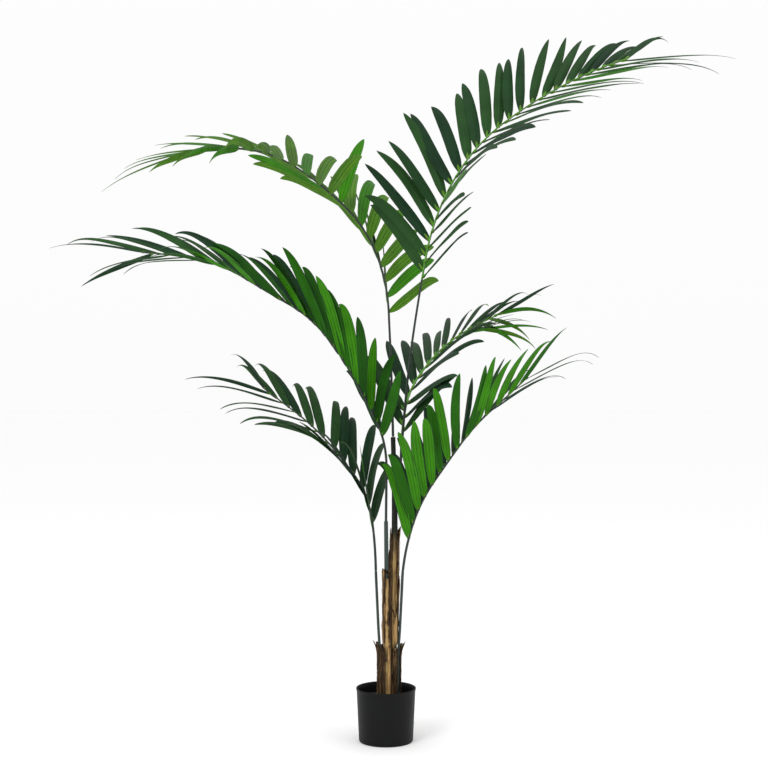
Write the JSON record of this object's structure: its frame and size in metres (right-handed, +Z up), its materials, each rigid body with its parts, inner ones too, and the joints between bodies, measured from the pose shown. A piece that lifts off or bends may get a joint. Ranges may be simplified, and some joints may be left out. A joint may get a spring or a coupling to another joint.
{
  "type": "artificial potted kentia palm",
  "caption": "Tall artificial kentia palm whose long arching fronds of cloth leaflets rise on thin stalks from husk-wrapped canes in a plain round nursery pot.",
  "frame": {"origin": "centre of the pot's flat underside", "axes": "+Z up the plant, +X to the right of the pictured view, +Y away from it"},
  "size_m": [1.6952, 0.9097, 1.8699],
  "materials": {
    "pot": "matte black moulded plastic, faintly grained",
    "fill": "dark cast fill, rough",
    "cane": "pale tan cane with long fibres",
    "husk": "brown woven fibre husk, rough",
    "tube": "grey-green plastic tube, semi-matt",
    "stalk": "dark green plastic over wire",
    "leaflets": "printed cloth, dark green above and bright green below"
  },
  "bodies": {
    "root": {"pot": "pot", "pot_fill": "fill", "cane_left": "cane", "cane_right": "cane", "tube_left": "tube", "tube_right": "tube", "tube_upper": "tube", "wrap_left": "husk", "wrap_right": "husk", "husk_left": "husk", "husk_right": "husk", "stalk_top_right": "stalk", "frond_top_right_low": "leaflets", "frond_top_right_high": "leaflets", "stalk_upper_left": "stalk", "frond_upper_left_low": "leaflets", "frond_upper_left_high": "leaflets", "stalk_middle_left": "stalk", "frond_middle_left_low": "leaflets", "frond_middle_left_high": "leaflets", "stalk_middle_right": "stalk", "frond_middle_right_low": "leaflets", "frond_middle_right_high": "leaflets", "stalk_lower_right": "stalk", "frond_lower_right_low": "leaflets", "frond_lower_right_high": "leaflets", "stalk_lower_left": "stalk", "frond_lower_left_low": "leaflets", "frond_lower_left_high": "leaflets"}
  },
  "joints": []
}
